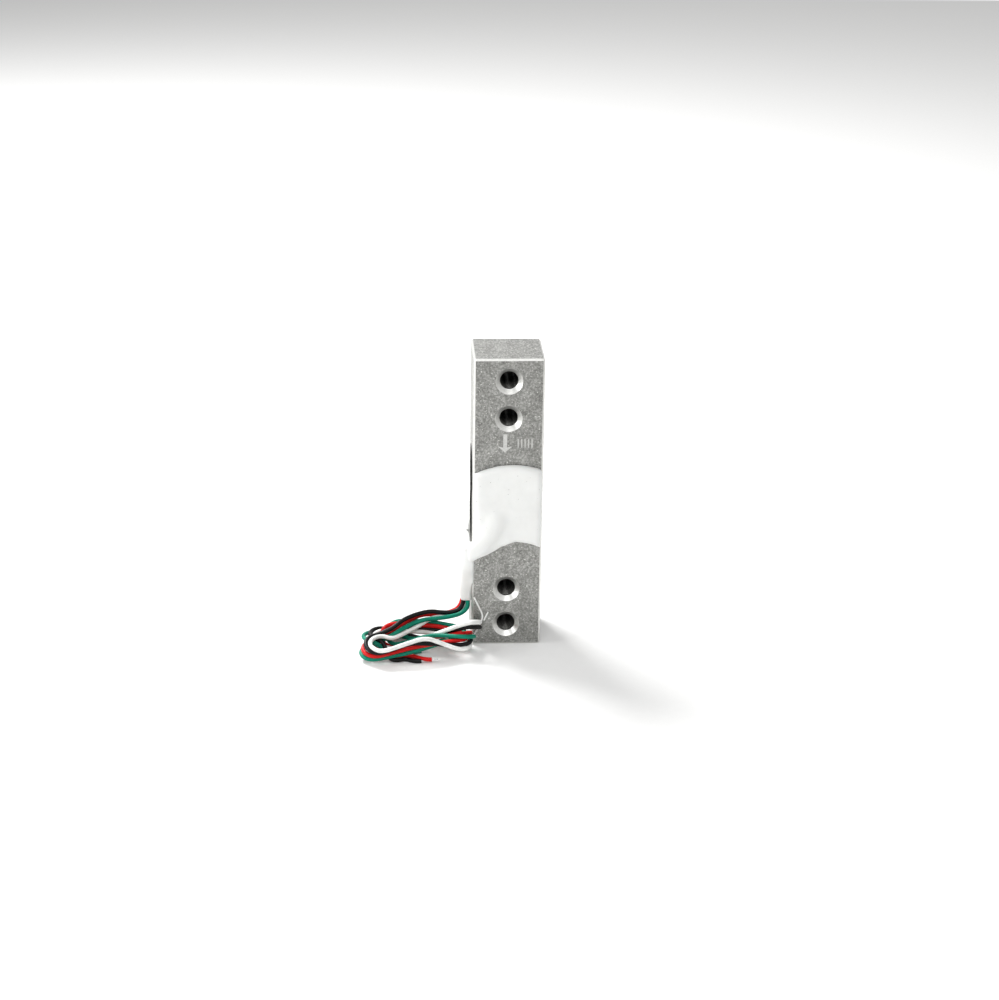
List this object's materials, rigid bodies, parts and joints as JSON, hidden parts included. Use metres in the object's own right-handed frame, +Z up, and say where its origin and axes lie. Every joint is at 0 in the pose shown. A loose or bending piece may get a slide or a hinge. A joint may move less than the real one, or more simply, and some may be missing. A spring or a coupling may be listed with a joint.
{
  "type": "single point load cell",
  "caption": "Aluminium single point load cell bar with a binocular opening, silicone sealed gauges and thin coloured leads in a loose hank.",
  "frame": {"origin": "centre of the foot face, on the surface the bar stands on", "axes": "+Z up the bar's length; +Y away from the front face that carries the visible sealant; +X to the right seen from the front"},
  "size_m": [0.0331, 0.0233, 0.0553],
  "materials": {
    "aluminium_bar": "fine grained, satin",
    "polyimide_film": "gloss",
    "gauge_foil": "satin",
    "glass_epoxy_board": "satin",
    "copper": "satin",
    "solder": "bright",
    "enamelled_wire": "gloss",
    "tinned_copper": "bright",
    "silicone": "soft satin",
    "pvc_white": "satin",
    "pvc_green": "satin",
    "pvc_red": "satin",
    "pvc_black": "satin"
  },
  "bodies": {
    "root": {"beam": "aluminium_bar", "gauge_carrier_front_lower": "polyimide_film", "gauge_grid_front_lower": "gauge_foil", "gauge_carrier_front_upper": "polyimide_film", "gauge_grid_front_upper": "gauge_foil", "terminal_board_front": "glass_epoxy_board", "copper_pads_front": "copper", "solder_joints_front": "solder", "jumper_wires_front": "enamelled_wire", "gauge_carrier_rear_lower": "polyimide_film", "gauge_grid_rear_lower": "gauge_foil", "gauge_carrier_rear_upper": "polyimide_film", "gauge_grid_rear_upper": "gauge_foil", "terminal_board_rear": "glass_epoxy_board", "copper_pads_rear": "copper", "solder_joints_rear": "solder", "jumper_wires_rear": "enamelled_wire", "crossover_wires": "enamelled_wire", "lead_conductors": "tinned_copper", "sealant_front": "silicone", "sealant_rear": "silicone", "sealant_side": "silicone", "lead_hank": "pvc_green", "lead_white": "pvc_white", "lead_tail_white": "pvc_white", "bare_end_white": "tinned_copper", "lead_green": "pvc_green", "lead_tail_green": "pvc_green", "bare_end_green": "tinned_copper", "lead_red": "pvc_red", "lead_tail_red": "pvc_red", "bare_end_red": "tinned_copper", "lead_black": "pvc_black", "lead_tail_black": "pvc_black", "bare_end_black": "tinned_copper"}
  },
  "joints": []
}
